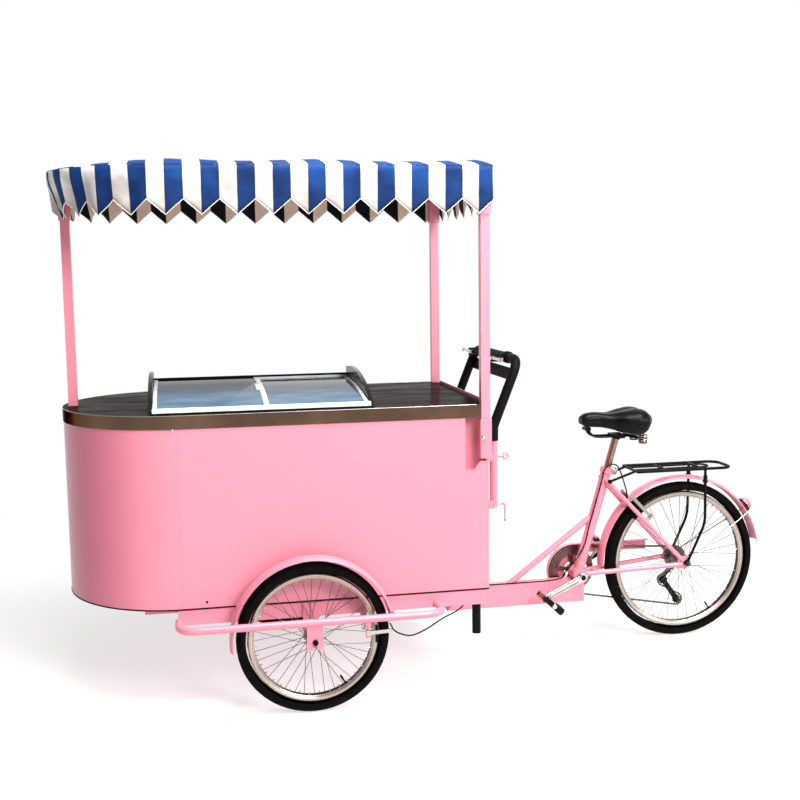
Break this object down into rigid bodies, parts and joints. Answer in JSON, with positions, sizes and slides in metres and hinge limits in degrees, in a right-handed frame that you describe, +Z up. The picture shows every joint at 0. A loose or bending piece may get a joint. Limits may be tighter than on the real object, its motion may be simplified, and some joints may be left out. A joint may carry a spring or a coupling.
{
  "type": "ice cream tricycle",
  "caption": "Pedal tricycle with a round-nosed freezer box, sliding glass lid and striped canopy, steered by turning the box on a king pin.",
  "frame": {"origin": "on the ground, midway along the length and width of the whole tricycle", "axes": "+X towards the rear wheel, +Y to the rider's right, +Z up"},
  "size_m": [2.585, 1.01, 1.7923],
  "materials": {
    "pink_paint": "gloss",
    "black_paint": "satin",
    "stainless": "brushed",
    "liner": "satin",
    "casing": "matte",
    "compressor": "satin",
    "battery_case": "matte",
    "lid_white": "gloss",
    "cap_grey": "satin",
    "glass": "clear",
    "striped_cloth": "woven",
    "tyre": "matte",
    "rim": "polished",
    "dark_steel": "satin",
    "chrome": "polished",
    "cable": "satin",
    "black_plastic": "matte",
    "chain_steel": "oiled",
    "alloy": "satin",
    "saddle": "satin",
    "reflector": "gloss"
  },
  "bodies": {
    "cart": {"chassis": "pink_paint", "nose_sheet": "pink_paint", "side_panels": "pink_paint", "rear_panel": "pink_paint", "counter_top": "stainless", "freezer_liner": "liner", "freezer_casing": "casing", "cooling_unit": "compressor", "battery": "battery_case", "lid_frame": "lid_white", "lid_end_caps": "cap_grey", "canopy_poles": "pink_paint", "canopy_frame": "pink_paint", "canopy_roof": "striped_cloth", "canopy_valance": "striped_cloth", "guard_rails": "pink_paint", "front_fenders": "pink_paint", "front_axles": "black_paint", "handle_posts": "pink_paint", "handlebar": "black_paint", "front_cables": "cable"},
    "pane_left": {"glass_left": "glass", "trim_left": "lid_white"},
    "pane_right": {"glass_right": "glass", "trim_right": "lid_white"},
    "lever_left": {"lever_left": "chrome"},
    "lever_right": {"lever_right": "chrome"},
    "leg_left": {"leg_left": "black_paint"},
    "leg_right": {"leg_right": "black_paint"},
    "front_left_wheel": {"front_left_tyre": "tyre", "front_left_rim": "rim", "front_left_hub": "dark_steel"},
    "front_right_wheel": {"front_right_tyre": "tyre", "front_right_rim": "rim", "front_right_hub": "dark_steel"},
    "arm_left_outer": {"arm_left_outer": "dark_steel"},
    "arm_left_inner": {"arm_left_inner": "dark_steel"},
    "arm_right_outer": {"arm_right_outer": "dark_steel"},
    "arm_right_inner": {"arm_right_inner": "dark_steel"},
    "rear_end": {"rear_frame": "pink_paint", "rear_fender": "pink_paint", "rear_rack": "black_paint", "tail_reflector": "reflector", "chain_guard": "pink_paint", "rear_axle": "dark_steel", "rear_cable": "cable", "derailleur": "black_plastic", "chain": "chain_steel"},
    "arm_rear_left": {"arm_rear_left": "dark_steel"},
    "arm_rear_right": {"arm_rear_right": "dark_steel"},
    "rear_wheel": {"rear_tyre": "tyre", "rear_rim": "rim", "rear_hub": "dark_steel", "freewheel": "dark_steel"},
    "crank": {"crankset": "alloy"},
    "pedal_left": {"pedal_left": "alloy"},
    "pedal_right": {"pedal_right": "alloy"},
    "seat": {"seat_post": "chrome", "saddle": "saddle", "saddle_rails": "black_paint"}
  },
  "joints": [
    {"name": "steer", "type": "hinge", "parent": "cart", "child": "rear_end", "pos_m": [0.09648, 0, 0.25], "axis": [0, 0, 1], "range_deg": [-35, 35]},
    {"name": "front_left_spin", "type": "hinge", "parent": "cart", "child": "front_left_wheel", "pos_m": [-0.49352, -0.435, 0.248], "axis": [0, 1, 0], "continuous": true},
    {"name": "front_right_spin", "type": "hinge", "parent": "cart", "child": "front_right_wheel", "pos_m": [-0.49352, 0.435, 0.248], "axis": [0, 1, 0], "continuous": true},
    {"name": "rear_spin", "type": "hinge", "parent": "rear_end", "child": "rear_wheel", "pos_m": [0.97148, 0, 0.3], "axis": [0, 1, 0], "continuous": true},
    {"name": "crank_spin", "type": "hinge", "parent": "rear_end", "child": "crank", "pos_m": [0.55948, 0, 0.27], "axis": [0, 1, 0], "continuous": true},
    {"name": "pedal_left_spin", "type": "hinge", "parent": "crank", "child": "pedal_left", "pos_m": [0.41265, -0.126, 0.20154], "axis": [0, 1, 0], "continuous": true},
    {"name": "pedal_right_spin", "type": "hinge", "parent": "crank", "child": "pedal_right", "pos_m": [0.7063, 0.126, 0.33846], "axis": [0, 1, 0], "continuous": true},
    {"name": "lever_left_squeeze", "type": "hinge", "parent": "cart", "child": "lever_left", "pos_m": [0.19156, -0.15, 1.108], "axis": [0, 0, 1], "range_deg": [0, 14], "stiffness_Nm_per_rad": 1.5, "springref_deg": -8.59},
    {"name": "lever_right_squeeze", "type": "hinge", "parent": "cart", "child": "lever_right", "pos_m": [0.19156, 0.15, 1.108], "axis": [0, 0, -1], "range_deg": [0, 14], "stiffness_Nm_per_rad": 1.5, "springref_deg": -8.59},
    {"name": "arm_left_outer_pinch", "type": "hinge", "parent": "cart", "child": "arm_left_outer", "pos_m": [-0.32152, -0.477, 0.261], "axis": [0, 0, 1], "range_deg": [0, 3.5]},
    {"name": "arm_left_inner_pinch", "type": "hinge", "parent": "cart", "child": "arm_left_inner", "pos_m": [-0.32152, -0.393, 0.261], "axis": [0, 0, -1], "range_deg": [0, 3.5]},
    {"name": "arm_right_inner_pinch", "type": "hinge", "parent": "cart", "child": "arm_right_inner", "pos_m": [-0.32152, 0.393, 0.261], "axis": [0, 0, 1], "range_deg": [0, 3.5]},
    {"name": "arm_right_outer_pinch", "type": "hinge", "parent": "cart", "child": "arm_right_outer", "pos_m": [-0.32152, 0.477, 0.261], "axis": [0, 0, -1], "range_deg": [0, 3.5]},
    {"name": "arm_rear_left_pinch", "type": "hinge", "parent": "rear_end", "child": "arm_rear_left", "pos_m": [0.81645, -0.05, 0.4672], "axis": [-0.7334, 0, -0.6798], "range_deg": [0, 3.5]},
    {"name": "arm_rear_right_pinch", "type": "hinge", "parent": "rear_end", "child": "arm_rear_right", "pos_m": [0.81645, 0.05, 0.4672], "axis": [0.7334, 0, 0.6798], "range_deg": [0, 3.5]},
    {"name": "pane_left_slide", "type": "slide", "parent": "cart", "child": "pane_left", "axis": [1, 0, 0], "range_m": [0, 0.32]},
    {"name": "pane_right_slide", "type": "slide", "parent": "cart", "child": "pane_right", "axis": [1, 0, 0], "range_m": [-0.32, 0]},
    {"name": "leg_left_drop", "type": "slide", "parent": "cart", "child": "leg_left", "axis": [0, 0, -1], "range_m": [0, 0.17]},
    {"name": "leg_right_drop", "type": "slide", "parent": "cart", "child": "leg_right", "axis": [0, 0, -1], "range_m": [0, 0.17]},
    {"name": "seat_height", "type": "slide", "parent": "rear_end", "child": "seat", "axis": [0.2753, 0, 0.9614], "range_m": [-0.04, 0.1]}
  ],
  "couplings": [
    {"joint": "crank_spin", "follows": "rear_spin", "ratio": 0.40909},
    {"joint": "arm_left_outer_pinch", "follows": "lever_left_squeeze", "ratio": 0.25},
    {"joint": "arm_left_inner_pinch", "follows": "lever_left_squeeze", "ratio": 0.25},
    {"joint": "arm_right_inner_pinch", "follows": "lever_left_squeeze", "ratio": 0.25},
    {"joint": "arm_right_outer_pinch", "follows": "lever_left_squeeze", "ratio": 0.25},
    {"joint": "arm_rear_left_pinch", "follows": "lever_right_squeeze", "ratio": 0.25},
    {"joint": "arm_rear_right_pinch", "follows": "lever_right_squeeze", "ratio": 0.25}
  ]
}
